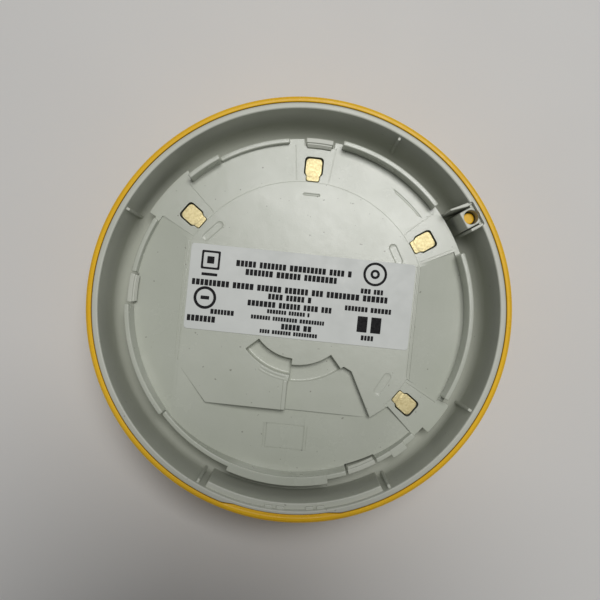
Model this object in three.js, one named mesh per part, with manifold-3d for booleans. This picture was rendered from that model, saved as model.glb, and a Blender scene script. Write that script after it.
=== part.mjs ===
// Heat detector for a fire alarm system, lying face down in its dust cover.
// Frame: +Z points out of the mounting side, +X runs along the rating label, and the origin is on the
// underside of the dust cover, on the detector's axis. Lengths are in millimetres. Angles are in degrees,
// counted from +X towards +Y.
import * as THREE from "three";
import { mergeVertices } from "three/addons/utils/BufferGeometryUtils.js";
import Module from "manifold-3d";

const wasm = await Module();
wasm.setup();

// Driving dimensions: heights of the levels, from the dust cover's underside.
const RIM_Z = 45;
const TALL_RAIL_Z = 40;
const BOTTOM_RAIL_Z = 37;
const HOOK_TOP_Z = 36.5;
const LOW_RAIL_Z = 36.3;
const PLATEAU_Z = 34.9;
const PLATFORM_Z = 34.5;
const BOWL_FOOT_Z = 33.6;
const POCKET_Z = 31.5;
const GROOVE_Z = 31;
const SUMP_END_Z = 33.7;
const SUMP_Z = 30.4;
const CHASSIS_UNDER_Z = 33;
const SUMP_UNDER_Z = 28.8;
const BOARD_TOP_Z = 27.7;
const BOARD_THICKNESS = 1.6;
const BOARD_UNDER_Z = BOARD_TOP_Z - BOARD_THICKNESS;
const CHANNEL_Z = 25.5;
const NECK_FLOOR_Z = 15;
const NECK_UNDER_Z = 12.4;
const TIP_Z = 2;

// Driving dimensions: radii.
const SKIRT_R = 54.5;
const SKIRT_INNER_R = 52.9;
const CHASSIS_R = 47.3;
const CHASSIS_WALL_INNER_R = 45.7;
const LOCATING_WALL_R = 44.9;
const LOCATING_WALL_INNER_R = 43.4;
const PLATEAU_R = 35.5;
const BOARD_R = 41;
const NECK_HOLE_R = 4.4;
const DUST_COVER_R = 56.3;

const GAP = 0.3; // running gap between neighbouring mouldings
const SEAT_GAP = 0.1; // gap between a component and what it sits on
const ROUND_SEGMENTS = 72; // facets of a large round part
const ARC_STEP = 5; // degrees between the points of an arc seen in plan
const FILLET_STEP = 16; // degrees between the points of a fillet's section
const ABOVE = RIM_Z + 5; // a height clear above everything, where cuts end

const PLASTIC = { color: 0xc9cbbf, roughness: 0.45, metalness: 0 };
const CHASSIS_PLASTIC = { color: 0xc2c4b6, roughness: 0.4, metalness: 0 };
const AMBER = { color: 0xe8ac2e, roughness: 0.3, metalness: 0, transparent: true, opacity: 0.7 };
const PAPER = { color: 0xdfe0dc, roughness: 0.6, metalness: 0 };
const GOLD = { color: 0xe0c283, roughness: 0.3, metalness: 1 };
const LAMINATE = { color: 0x2f6b3a, roughness: 0.55, metalness: 0 };
const BLACK_RESIN = { color: 0x1d1d1f, roughness: 0.5, metalness: 0 };
const ALUMINIUM = { color: 0xb9bcc0, roughness: 0.35, metalness: 1 };
const TINNED = { color: 0xb4b4ae, roughness: 0.3, metalness: 1 };
const CERAMIC = { color: 0xa98f6b, roughness: 0.6, metalness: 0 };
const RED_LENS = { color: 0xb3262a, roughness: 0.2, metalness: 0 };
const CLEAR_LENS = { color: 0xdde3e6, roughness: 0.1, metalness: 0, transparent: true, opacity: 0.5 };

// ---- Shape helpers ----

const radians = THREE.MathUtils.degToRad;

function polar(radius, degrees) {
  return new THREE.Vector2(radius * Math.cos(radians(degrees)), radius * Math.sin(radians(degrees)));
}

function arc(radius, from, to, centre = new THREE.Vector2(), step = ARC_STEP) {
  const steps = Math.max(1, Math.round(Math.abs(to - from) / step));
  const points = [];
  for (let i = 0; i <= steps; i++) {
    points.push(polar(radius, from + ((to - from) * i) / steps).add(centre));
  }
  return points;
}

function fillet(radius, from, to, centre) {
  return arc(radius, from, to, centre, FILLET_STEP);
}

// A closed geometry as a solid for joining and cutting.
function solid(geometry) {
  const bare = geometry.index ? geometry.toNonIndexed() : geometry.clone();
  bare.deleteAttribute("normal");
  bare.deleteAttribute("uv");
  const merged = mergeVertices(bare, 1e-4);
  const vertProperties = merged.attributes.position.array;
  const triVerts = new Uint32Array(merged.index.array);
  return new wasm.Manifold(new wasm.Mesh({ numProp: 3, vertProperties, triVerts }));
}

function points2(pairs) {
  return pairs.map(([x, y]) => new THREE.Vector2(x, y));
}

// An upright prism over an outline in the XY plane.
function prism(outline, low, high) {
  const geometry = new THREE.ExtrudeGeometry(new THREE.Shape(outline), {
    depth: high - low,
    bevelEnabled: false,
  });
  return solid(geometry.translate(0, 0, low));
}

// A piece of a ring between two radii and two angles.
function sector(inner, outer, from, to, low, high) {
  return prism([...arc(outer, from, to), ...arc(inner, to, from)], low, high);
}

function cylinder(radius, low, high, segments, x = 0, y = 0) {
  const geometry = new THREE.CylinderGeometry(radius, radius, high - low, segments);
  geometry.rotateX(Math.PI / 2);
  return solid(geometry.translate(x, y, (low + high) / 2));
}

function ring(inner, outer, low, high) {
  return cylinder(outer, low, high, ROUND_SEGMENTS).subtract(
    cylinder(inner, low - 1, high + 1, ROUND_SEGMENTS),
  );
}

// A block lying along the radius at an angle.
function spoke(inner, outer, width, degrees, low, high) {
  const geometry = new THREE.BoxGeometry(outer - inner, width, high - low);
  geometry.translate((inner + outer) / 2, 0, (low + high) / 2);
  return solid(geometry.rotateZ(radians(degrees)));
}

// A body of revolution about Z from a closed profile of (radius, height) points.
function revolve(profile, segments = ROUND_SEGMENTS) {
  const geometry = new THREE.LatheGeometry([...profile, profile[0].clone()], segments);
  return solid(geometry.rotateX(Math.PI / 2));
}

function unite(solids) {
  return solids.reduce((all, next) => all.add(next));
}

function part(name, body, finish) {
  const made = body.getMesh();
  const geometry = new THREE.BufferGeometry();
  geometry.setAttribute("position", new THREE.BufferAttribute(made.vertProperties, 3));
  geometry.setIndex(new THREE.BufferAttribute(made.triVerts, 1));
  geometry.computeVertexNormals();
  const mesh = new THREE.Mesh(geometry, new THREE.MeshStandardMaterial(finish));
  mesh.name = name;
  return mesh;
}

// ---- Front cover: skirt, channel floor, cone, neck and sensing cage in one moulding ----

const SHOULDER_CENTRE = new THREE.Vector2(46.5, 31);
const SHOULDER_R = SKIRT_R - SHOULDER_CENTRE.x;
const CHANNEL_FILLET_R = 5.5;
const CHANNEL_FILLET_CENTRE = new THREE.Vector2(47.1, CHANNEL_Z + CHANNEL_FILLET_R);

const HOOKS = [
  { from: 84, to: 93.2, noseR: 44.9 },
  { from: 173.4, to: 183.2, noseR: 44.9 },
  { from: 292.6, to: 302.4, noseR: 45.4 },
];
const HOOK_R = { inner: 45.95, outer: 47.3 };
const WALL_RIBS = [65.3, 155.3, 245.3, 302.8, 335.3];
const LEDGE = { inner: 51.2, from: 247.8, to: 300.8, top: 43.5 };
// A shallow flat down the skirt, with a ramp at each end. The dust cover's pull tab slides in it.
const FLAT = { inner: 53.8, from: 253.3, to: 287.8, ramp: 3.7, low: 26 };
const TOOL_BOSS = { inner: 49.3, width: 5.2, top: 44, hole: 1.9, holeAt: 51.7, degrees: 34 };
const CAGE_FINS = 8;
const LIGHT_GUIDE_AT = { x: 0, y: -30, hole: 1.9 };
const BOARD_POSTS = { angles: [60, 180, 300], at: 38, radius: 1.8, low: 21 };

function frontShell() {
  return revolve([
    ...points2([
      [NECK_HOLE_R, NECK_UNDER_Z],
      [23.5, NECK_UNDER_Z],
      [26, 14.4],
    ]),
    ...fillet(SHOULDER_R, -65, 0, SHOULDER_CENTRE),
    ...points2([
      [SKIRT_R, RIM_Z],
      [SKIRT_INNER_R, RIM_Z],
      [SKIRT_INNER_R - 0.2, 33],
    ]),
    ...fillet(CHANNEL_FILLET_R, 0, -90, CHANNEL_FILLET_CENTRE),
    ...points2([
      [LOCATING_WALL_R, CHANNEL_Z],
      [LOCATING_WALL_R, 28.4],
      [LOCATING_WALL_INNER_R, 28.4],
      [LOCATING_WALL_INNER_R, 23.3],
      [26, 16.5],
      [22, NECK_FLOOR_Z],
      [NECK_HOLE_R, NECK_FLOOR_Z],
    ]),
  ]);
}

function cage() {
  const FIN_THICKNESS = 1.6;
  const finOutline = points2([
    [11, NECK_UNDER_Z + 1],
    [11, TIP_Z + 1.5],
    [18, TIP_Z + 1.5],
    [22.5, NECK_UNDER_Z + 1],
  ]);
  const endDisc = revolve(
    points2([
      [0, TIP_Z],
      [16, TIP_Z],
      [18.5, TIP_Z + 1],
      [18.5, TIP_Z + 2.2],
      [0, TIP_Z + 2.2],
    ]),
    48,
  );
  const fins = [];
  for (let i = 0; i < CAGE_FINS; i++) {
    const geometry = new THREE.ExtrudeGeometry(new THREE.Shape(finOutline), {
      depth: FIN_THICKNESS,
      bevelEnabled: false,
    });
    geometry.translate(0, 0, -FIN_THICKNESS / 2);
    geometry.rotateX(Math.PI / 2);
    geometry.rotateZ(radians(((i + 0.5) * 360) / CAGE_FINS));
    fins.push(solid(geometry));
  }
  return unite([endDisc, ...fins]);
}

function snapHook({ from, to, noseR }) {
  const stem = sector(HOOK_R.inner, HOOK_R.outer, from, to, CHANNEL_Z - 1, HOOK_TOP_Z);
  const nose = sector(noseR, HOOK_R.inner + GAP, from, to, PLATFORM_Z + 0.5, HOOK_TOP_Z);
  return stem.add(nose);
}

// The flat's plan: from its deepest radius up a ramp at each end, and straight out from there.
function flatOutline(inner, edge, outer, from, to) {
  return [
    ...arc(outer, from, to),
    polar(edge, to),
    ...arc(inner, to - FLAT.ramp, from + FLAT.ramp),
    polar(edge, from),
  ];
}

function frontCover() {
  const hooks = HOOKS.map(snapHook);
  const ribs = WALL_RIBS.map((at) => spoke(51.9, 53.6, 0.8, at, 30, 43.8));
  const ledge = sector(LEDGE.inner, SKIRT_INNER_R + 0.6, LEDGE.from, LEDGE.to, 29.5, LEDGE.top);
  const boss = spoke(
    TOOL_BOSS.inner,
    53.5,
    TOOL_BOSS.width,
    TOOL_BOSS.degrees,
    CHANNEL_Z + 1,
    TOOL_BOSS.top,
  );
  const posts = BOARD_POSTS.angles.map((at) => {
    const { x, y } = polar(BOARD_POSTS.at, at);
    return cylinder(BOARD_POSTS.radius, BOARD_POSTS.low, BOARD_UNDER_Z - GAP, 16, x, y);
  });
  const { x, y } = polar(TOOL_BOSS.holeAt, TOOL_BOSS.degrees);
  const toolHole = cylinder(TOOL_BOSS.hole, 15, ABOVE, 20, x, y);
  const flatPlan = flatOutline(FLAT.inner, SKIRT_R, SKIRT_R + 1, FLAT.from, FLAT.to);
  const flat = prism(flatPlan, FLAT.low, ABOVE);
  const guideHole = cylinder(LIGHT_GUIDE_AT.hole, 10, 24, 16, LIGHT_GUIDE_AT.x, LIGHT_GUIDE_AT.y);
  return unite([frontShell(), cage(), ...hooks, ...ribs, ledge, boss, ...posts])
    .subtract(toolHole)
    .subtract(flat)
    .subtract(guideHole);
}

// ---- Rear chassis: the moulded tray that closes the cover and holds the contacts ----

const CONTACT_ANGLES = [34.1, 89.8, 144.1, 324.3];
const WINDOW = { inner: 35.3, outer: 42.5, width: 5.2, neck: 4.3, neckAt: 37.3 };
const TALL_RAILS = [
  [-25.7, 24.8],
  [42.8, 80.8],
  [123.3, 135.3],
  [183.8, 222.8],
];
const LOW_RAILS = [
  [98.8, 123.3],
  [153.3, 172.8],
];
const BOTTOM_RAILS = [
  [222.9, 251.6],
  [285, 292],
  [303, 308.6],
];
const RAIL_INNER_R = 45.9;
const CHORD_LEFT_X = -32.4;
const CHORD_RIGHT_X = 31.8;
const BOWL_EDGE_X = 46.5;
const SUMP = { from: 217, to: 318.1 };
const PLATEAU_EDGE_Y = -28.2;
const POCKET_ARC_R = 20.1;
const POCKET_RIGHT = [
  [16.2, -15.6],
  [22.4, -27.6],
];

// A prism along Y over a section of (x, z) points given anticlockwise as seen from -Y.
function alongY(section, fromY, toY) {
  const geometry = new THREE.ExtrudeGeometry(new THREE.Shape(section), {
    depth: toY - fromY,
    bevelEnabled: false,
  });
  geometry.rotateX(Math.PI / 2);
  return solid(geometry.translate(0, toY, 0));
}

// The low area under the plateau's straight edge. Its floor rises towards both ends, and at the
// left one it runs on into the sloped platform.
function sump() {
  const outline = [
    ...points2([
      [-23.3, -28.1],
      [CHORD_LEFT_X, -17.7],
      [-34.5, -25.5],
    ]),
    ...arc(RAIL_INNER_R - 0.2, SUMP.from, SUMP.to),
    ...points2([
      [27, -24],
      [22.4, -27.6],
      [20, PLATEAU_EDGE_Y],
    ]),
  ];
  const section = points2([
    [-BOWL_EDGE_X, BOWL_FOOT_Z],
    [CHORD_LEFT_X - 0.6, PLATEAU_Z - 0.1],
    [-28, PLATEAU_Z - 0.8],
    [-22, PLATEAU_Z - 2.3],
    [-13, SUMP_Z],
    [16, SUMP_Z],
    [33, SUMP_END_Z],
    [50, SUMP_END_Z],
    [50, ABOVE],
    [-BOWL_EDGE_X, ABOVE],
  ]);
  return prism(outline, SUMP_Z - 1, ABOVE).intersect(alongY(section, -50, 0));
}

function pocket() {
  const outline = [
    ...arc(POCKET_ARC_R, 266.6, 313.8),
    ...points2([...POCKET_RIGHT, [22.4, PLATEAU_EDGE_Y - 1], [-1.2, PLATEAU_EDGE_Y - 1]]),
  ];
  return prism(outline, POCKET_Z, ABOVE);
}

function groove() {
  const left = sector(13.7, 18.3, 222, 268, GROOVE_Z, ABOVE);
  const right = sector(15.4, 20.3, 267.5, 311, GROOVE_Z, ABOVE);
  return left.add(right);
}

// A wedge that lowers the platform from the plateau's chord down to the foot of the rail.
function bowl(chordX, from, to) {
  const edgeX = Math.sign(chordX) * BOWL_EDGE_X;
  const section = points2([
    [chordX, PLATEAU_Z],
    [edgeX, BOWL_FOOT_Z],
    [edgeX, ABOVE],
    [chordX, ABOVE],
  ]);
  const reach = sector(20, RAIL_INNER_R, from, to, BOWL_FOOT_Z - 1, ABOVE);
  return alongY(chordX > 0 ? section : section.reverse(), -30, 30).intersect(reach);
}

function rails(spans, top) {
  return spans.map(([from, to]) => sector(RAIL_INNER_R, CHASSIS_R, from, to, PLATFORM_Z - 1, top));
}

function edgeTabs() {
  return [
    sector(46.5, 49.5, 134.3, 152.8, CHASSIS_UNDER_Z, PLATFORM_Z),
    sector(46.5, 49.5, 322.1, 333.3, CHASSIS_UNDER_Z, PLATFORM_Z),
    sector(RAIL_INNER_R, 48.4, 251.3, 285.3, CHASSIS_UNDER_Z, BOTTOM_RAIL_Z),
    sector(RAIL_INNER_R, 48.3, 308.3, 314, CHASSIS_UNDER_Z, BOTTOM_RAIL_Z),
    sector(RAIL_INNER_R, 47.5, 313.8, 318.3, CHASSIS_UNDER_Z, LOW_RAIL_Z),
  ];
}

function rearChassis() {
  const slab = cylinder(CHASSIS_R, SUMP_UNDER_Z, PLATEAU_Z, ROUND_SEGMENTS);
  const wall = ring(CHASSIS_WALL_INNER_R, CHASSIS_R, CHANNEL_Z + GAP, SUMP_UNDER_Z + 1);
  const platformCut = ring(PLATEAU_R, CHASSIS_R + 1, PLATFORM_Z, ABOVE);
  const tray = slab
    .subtract(platformCut)
    .subtract(sump())
    .subtract(pocket())
    .subtract(groove())
    .subtract(bowl(CHORD_LEFT_X, 151.5, 222))
    .subtract(bowl(CHORD_RIGHT_X, -27.5, 26))
    .subtract(underside());
  const raised = unite([
    tray,
    wall,
    ...rails(TALL_RAILS, TALL_RAIL_Z),
    ...rails(LOW_RAILS, LOW_RAIL_Z),
    ...rails(BOTTOM_RAILS, BOTTOM_RAIL_Z),
    ...edgeTabs(),
    ...boardPegs(),
  ]);
  const windows = CONTACT_ANGLES.map((at) =>
    spoke(WINDOW.neckAt, WINDOW.outer, WINDOW.width, at, CHANNEL_Z, ABOVE).add(
      spoke(WINDOW.inner, WINDOW.neckAt + 1, WINDOW.neck, at, CHANNEL_Z, ABOVE),
    ),
  );
  const hookSlots = HOOKS.map(({ from, to }) =>
    sector(HOOK_R.inner - GAP - 0.1, CHASSIS_R + 1, from - 0.6, to + 0.6, CHANNEL_Z, ABOVE),
  );
  return raised.subtract(unite([...windows, ...hookSlots]));
}

// The space under the platform and the plateau, clear of the sump, the pocket and the groove.
function underside() {
  const WALL = 1.6;
  const low = SUMP_UNDER_Z - 1;
  const whole = cylinder(CHASSIS_WALL_INNER_R, low, CHASSIS_UNDER_Z, ROUND_SEGMENTS);
  const keep = prism(
    [
      ...points2([
        [-15.5, -8],
        [-17, -13],
        [-17, PLATEAU_EDGE_Y + WALL],
        [-24, PLATEAU_EDGE_Y + WALL],
        [CHORD_LEFT_X - WALL, -15.5],
      ]),
      ...arc(CHASSIS_R + 1, SUMP.from - 3, SUMP.to + 2),
      ...points2([
        [28, -22],
        [24, -25],
        [17.5, -13.5],
        [9, -9.5],
        [0, -12],
      ]),
    ],
    low - 1,
    CHASSIS_UNDER_Z + 1,
  );
  return whole.subtract(keep);
}

// Short pegs that hold the circuit board down.
function boardPegs() {
  return [20, 120].map((at) => {
    const { x, y } = polar(36, at);
    return cylinder(1.6, BOARD_TOP_Z + GAP, CHASSIS_UNDER_Z + 0.5, 12, x, y);
  });
}

// ---- Contacts: a plate with a tapered inner end, bent down to a leg on the board ----

const CONTACT = { inner: 35.7, outer: 42.1, width: 4.6, neck: 3.7, neckAt: 37.7, thickness: 0.6 };

function contactPlate(degrees) {
  const { inner, outer, width, neck, neckAt, thickness } = CONTACT;
  const corner = 0.7;
  const half = [
    [inner, neck / 2],
    [neckAt - 0.4, neck / 2],
    [neckAt, width / 2],
    [outer - corner, width / 2],
    [outer, width / 2 - corner],
  ];
  const mirrored = half.map(([x, y]) => [x, -y]).reverse();
  const plate = prism(points2([...mirrored, ...half]).reverse(), PLATFORM_Z - thickness, PLATFORM_Z);
  const leg = spoke(inner, inner + thickness, neck - 0.6, 0, BOARD_TOP_Z + SEAT_GAP, PLATFORM_Z - 0.2);
  const foot = spoke(
    inner,
    inner + 2.4,
    neck - 0.6,
    0,
    BOARD_TOP_Z + SEAT_GAP,
    BOARD_TOP_Z + SEAT_GAP + thickness,
  );
  return unite([plate, leg, foot]).rotate([0, 0, degrees]);
}

// ---- Rating label ----

const LABEL = { left: -31.3, right: 31, low: -8.2, high: 15.5, corner: 1, thickness: 0.15 };

function ratingLabel() {
  const { left, right, low, high, corner, thickness } = LABEL;
  const cornerArc = (x, y, from) => fillet(corner, from, from + 90, new THREE.Vector2(x, y));
  const outline = [
    ...cornerArc(right - corner, high - corner, 0),
    ...cornerArc(left + corner, high - corner, 90),
    ...cornerArc(left + corner, low + corner, 180),
    ...cornerArc(right - corner, low + corner, 270),
  ];
  return prism(outline, PLATEAU_Z + SEAT_GAP, PLATEAU_Z + SEAT_GAP + thickness);
}

// ---- Circuit board and what it carries ----

const BEAD_Z = 8.2;
const BEAD_R = 1.5;
const LEAD_SPACING = 0.9;
const LEAD_R = 0.25;

function circuitBoard() {
  const board = cylinder(BOARD_R, BOARD_UNDER_Z, BOARD_TOP_Z, 48);
  const leadHoles = [-1, 1].map((side) =>
    cylinder(0.5, BOARD_UNDER_Z - 1, BOARD_TOP_Z + 1, 8, side * LEAD_SPACING, 0),
  );
  return board.subtract(unite(leadHoles));
}

function thermistorBead() {
  const geometry = new THREE.SphereGeometry(BEAD_R, 14, 10);
  geometry.rotateX(Math.PI / 2);
  geometry.scale(1, 1, 1.25);
  const leadSockets = [-1, 1].map((side) =>
    cylinder(LEAD_R + 0.1, BEAD_Z - 0.2, ABOVE, 8, side * LEAD_SPACING, 0),
  );
  return solid(geometry.translate(0, 0, BEAD_Z)).subtract(unite(leadSockets));
}

function thermistorLead(side) {
  return cylinder(LEAD_R, BEAD_Z, BOARD_TOP_Z + 0.8, 8, side * LEAD_SPACING, 0);
}

function thermistorSupport() {
  return revolve(
    points2([
      [1.7, 10.9],
      [3.4, 10.9],
      [4.1, 12.2],
      [4.1, NECK_FLOOR_Z + SEAT_GAP],
      [6.5, NECK_FLOOR_Z + SEAT_GAP],
      [6.5, NECK_FLOOR_Z + 1.3],
      [3.2, NECK_FLOOR_Z + 2],
      [3.2, BOARD_UNDER_Z - GAP],
      [1.7, BOARD_UNDER_Z - GAP],
    ]),
    24,
  );
}

function lightGuide() {
  const { x, y } = LIGHT_GUIDE_AT;
  const stem = cylinder(1.5, 16, 22.2, 16, x, y);
  const collar = cylinder(2.6, 20.4, 22.2, 16, x, y);
  return stem.add(collar);
}

function indicatorLed() {
  const { x, y } = LIGHT_GUIDE_AT;
  const lens = cylinder(1.5, 22.8, 25.2, 16, x, y);
  const base = cylinder(1.9, 25, BOARD_UNDER_Z - SEAT_GAP, 16, x, y);
  return lens.add(base);
}

// A component body under the board: a box of the given size, turned to its angle.
function chip(length, width, height, x, y, degrees = 0) {
  const top = BOARD_UNDER_Z - SEAT_GAP;
  const geometry = new THREE.BoxGeometry(length, width, height);
  geometry.rotateZ(radians(degrees));
  return solid(geometry.translate(x, y, top - height / 2));
}

function electrolyticCapacitor() {
  const top = BOARD_UNDER_Z - SEAT_GAP;
  const can = cylinder(3.15, top - 5.8, top - 0.8, 24, -17, 13);
  const base = chip(6.6, 6.6, 1, -17, 13);
  return can.add(base);
}

function resistors() {
  const SPACING = 4;
  return [0, 1, 2, 3].map((i) =>
    part("resistor_" + (i + 1), chip(3.2, 1.6, 0.6, 14 + i * SPACING, -14, 90), BLACK_RESIN),
  );
}

// ---- Dust cover: a thin cap over the whole front, with a thicker lip round its mouth ----

function dustCover() {
  const LIP_INNER_R = SKIRT_R + GAP;
  const WALL = 1.1;
  const FLOOR = 1;
  const LIP_TOP_Z = RIM_Z - 0.6;
  const LIP_LOW_Z = RIM_Z - 3;
  const SHOULDER_GAP = 0.6;
  const TAB_CLEARANCE = 0.7; // degrees
  const PIN = { radius: 1.5, low: 24, top: 40.5 };
  const inner = fillet(SHOULDER_R + SHOULDER_GAP, 0, -64, SHOULDER_CENTRE);
  const outer = fillet(SHOULDER_R + SHOULDER_GAP + WALL, -64, 0, SHOULDER_CENTRE);
  // The pull tab thickens the lip inwards, into the flat on the skirt.
  const tabPlan = flatOutline(
    FLAT.inner + GAP,
    LIP_INNER_R,
    LIP_INNER_R + WALL / 2,
    FLAT.from + TAB_CLEARANCE,
    FLAT.to - TAB_CLEARANCE,
  );
  const tab = prism(tabPlan, LIP_LOW_Z, LIP_TOP_Z);
  // The locating pin stands on the shoulder and reaches up into the tool hole.
  const foot = polar(TOOL_BOSS.holeAt, TOOL_BOSS.degrees);
  const pin = cylinder(PIN.radius, PIN.low, PIN.top, 20, foot.x, foot.y);
  const cap = revolve([
    ...points2([
      [0, 0],
      [28, 0],
      [29, 1],
      [30, 12.6],
    ]),
    ...outer,
    ...points2([
      [LIP_INNER_R + WALL, LIP_LOW_Z],
      [DUST_COVER_R, LIP_LOW_Z + 0.6],
      [DUST_COVER_R, LIP_TOP_Z],
      [LIP_INNER_R, LIP_TOP_Z],
    ]),
    ...inner,
    ...points2([
      [28.8, 13.4],
      [27.8, FLOOR],
      [0, FLOOR],
    ]),
  ]);
  return unite([cap, tab, pin]);
}

// ---- Assembly ----

const detector = new THREE.Group();
detector.add(part("front_cover", frontCover(), PLASTIC));
detector.add(part("rear_chassis", rearChassis(), CHASSIS_PLASTIC));
detector.add(part("rating_label", ratingLabel(), PAPER));
CONTACT_ANGLES.forEach((at, i) => {
  detector.add(part("contact_plate_" + (i + 1), contactPlate(at), GOLD));
});
detector.add(part("circuit_board", circuitBoard(), LAMINATE));
detector.add(part("thermistor_bead", thermistorBead(), BLACK_RESIN));
detector.add(part("thermistor_lead_1", thermistorLead(-1), TINNED));
detector.add(part("thermistor_lead_2", thermistorLead(1), TINNED));
detector.add(part("thermistor_support", thermistorSupport(), PLASTIC));
detector.add(part("indicator_led", indicatorLed(), RED_LENS));
detector.add(part("light_guide", lightGuide(), CLEAR_LENS));
detector.add(part("control_ic", chip(5, 4, 1.6, 12, 8), BLACK_RESIN));
detector.add(part("bridge_rectifier", chip(5.5, 4.5, 2.4, 22, 10), BLACK_RESIN));
detector.add(part("surge_suppressor", chip(4.5, 3.6, 2.3, 24, 0), BLACK_RESIN));
detector.add(part("latch_thyristor", chip(6.5, 3.5, 1.7, -14, -12), BLACK_RESIN));
detector.add(part("electrolytic_capacitor", electrolyticCapacitor(), ALUMINIUM));
detector.add(part("ceramic_capacitor_1", chip(3.2, 2.5, 1.6, 0, 16), CERAMIC));
detector.add(part("ceramic_capacitor_2", chip(3.2, 2.5, 1.6, -8, 20), CERAMIC));
detector.add(...resistors());

const assembly = new THREE.Group();
assembly.add(part("dust_cover", dustCover(), AMBER));
assembly.add(detector);

export default assembly;
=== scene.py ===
"""Looks of a heat detector that lies face down in its dust cover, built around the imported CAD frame.

Shapes are made in millimetres in the frame's own axes and scaled to metres when a piece is finished.
Angles are in degrees from +X towards +Y.
"""

import math
import random

import bmesh
import bpy
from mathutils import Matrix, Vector


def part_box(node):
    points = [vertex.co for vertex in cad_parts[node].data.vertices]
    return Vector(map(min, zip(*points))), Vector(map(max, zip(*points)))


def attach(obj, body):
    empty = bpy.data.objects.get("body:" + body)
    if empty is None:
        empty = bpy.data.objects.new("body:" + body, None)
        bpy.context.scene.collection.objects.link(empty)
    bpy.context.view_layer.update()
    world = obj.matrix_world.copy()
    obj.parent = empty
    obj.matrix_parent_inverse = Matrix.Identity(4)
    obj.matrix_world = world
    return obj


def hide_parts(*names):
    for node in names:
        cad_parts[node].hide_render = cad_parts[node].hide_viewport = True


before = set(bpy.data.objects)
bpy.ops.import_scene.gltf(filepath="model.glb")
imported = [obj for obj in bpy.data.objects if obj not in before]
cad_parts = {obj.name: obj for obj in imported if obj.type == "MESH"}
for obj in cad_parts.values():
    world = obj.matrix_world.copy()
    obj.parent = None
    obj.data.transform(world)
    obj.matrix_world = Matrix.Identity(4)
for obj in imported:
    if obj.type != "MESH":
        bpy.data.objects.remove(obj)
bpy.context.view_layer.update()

MM = 0.001
ROOT_BODY = "dust_cover"
DETECTOR_BODY = "detector"


def corners_mm(node):
    """A CAD node's lowest and highest corner in millimetres."""
    low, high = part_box(node)
    return low / MM, high / MM


COVER_LOW, COVER_HIGH = corners_mm("front_cover")
CHASSIS_LOW, CHASSIS_HIGH = corners_mm("rear_chassis")
LABEL_LOW, LABEL_HIGH = corners_mm("rating_label")
CAP_HIGH = corners_mm("dust_cover")[1]
CONTACT_TOP = corners_mm("contact_plate_1")[1].z
BOARD_TOP = corners_mm("circuit_board")[1].z

# Levels, from the frame
RIM_Z = COVER_HIGH.z
TIP_Z = COVER_LOW.z
TALL_RAIL_Z = CHASSIS_HIGH.z
LOW_RAIL_Z = TALL_RAIL_Z - 3.7
PLATFORM_Z = CONTACT_TOP
PLATEAU_Z = PLATFORM_Z + 0.4
BOTTOM_RAIL_Z = TALL_RAIL_Z - 3
HOOK_TOP_Z = TALL_RAIL_Z - 3.5
BOWL_FOOT_Z = PLATFORM_Z - 0.9
POCKET_Z = PLATEAU_Z - 3.4
GROOVE_Z = PLATEAU_Z - 3.9
SUMP_Z = PLATEAU_Z - 4.5
SUMP_END_Z = PLATEAU_Z - 1.2
CHASSIS_BASE_Z = CHASSIS_LOW.z
CHANNEL_Z = CHASSIS_BASE_Z - 0.3
NECK_UNDER_Z = TIP_Z + 10.4

# Radii
SKIRT_R = COVER_HIGH.x
SKIRT_INNER_R = SKIRT_R - 1.6
CHASSIS_R = 47.3
RAIL_INNER_R = 45.9
PLATEAU_R = 35.5
CAP_R = CAP_HIGH.x

ROUND_STEP = 1.5  # degrees between the points of a round outline
ABOVE_Z = RIM_Z + 6  # cuts start above here, clear of every surface
THROUGH_Z = 20  # cuts right through the chassis end here, below it
CUT_FLARE = 0.02  # a cutter widens this much above the surface, so that no faces coincide
CUT_RISE = 3  # how far a cutter stands above the surface
SHARP = 0.0001  # the rounding of an edge that is left sharp
SLIVER = 0.002  # points closer together than this are merged
SMOOTH_ANGLE = math.radians(32)
LEAST_TURN = math.radians(18)  # a corner that turns less is part of a curve, and stays


# ---- Plane outlines ----


def polar(radius, degrees, centre=(0, 0)):
    angle = math.radians(degrees)
    return (centre[0] + radius * math.cos(angle), centre[1] + radius * math.sin(angle))


def arc(radius, start, end, step=ROUND_STEP, centre=(0, 0)):
    count = max(1, round(abs(end - start) / step))
    return [polar(radius, start + (end - start) * i / count, centre) for i in range(count + 1)]


def circle(radius, centre, step=10):
    return arc(radius, 0, 360 - step, step, centre)


def sector_outline(inner, outer, start, end):
    return arc(outer, start, end) + arc(inner, end, start)


def box_outline(low_x, high_x, low_y, high_y):
    return [(low_x, low_y), (high_x, low_y), (high_x, high_y), (low_x, high_y)]


def turned(points, degrees):
    c, s = math.cos(math.radians(degrees)), math.sin(math.radians(degrees))
    return [(x * c - y * s, x * s + y * c) for x, y in points]


def soften(points, radius, steps=4):
    """The closed outline with each sharp corner rounded."""
    count = len(points)
    result = []
    for i, here in enumerate(points):
        p = Vector(here)
        before, after = Vector(points[i - 1]), Vector(points[(i + 1) % count])
        into, out = p - before, after - p
        turn = abs(into.angle_signed(out)) if into.length and out.length else 0
        if turn < LEAST_TURN:
            result.append(tuple(p))
            continue
        reach = min(radius * math.tan(turn / 2), 0.45 * into.length, 0.45 * out.length)
        a, b = p - into.normalized() * reach, p + out.normalized() * reach
        for k in range(steps + 1):
            t = k / steps
            q = a * (1 - t) ** 2 + p * (2 * t * (1 - t)) + b * t**2
            result.append(tuple(q))
    return result


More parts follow.
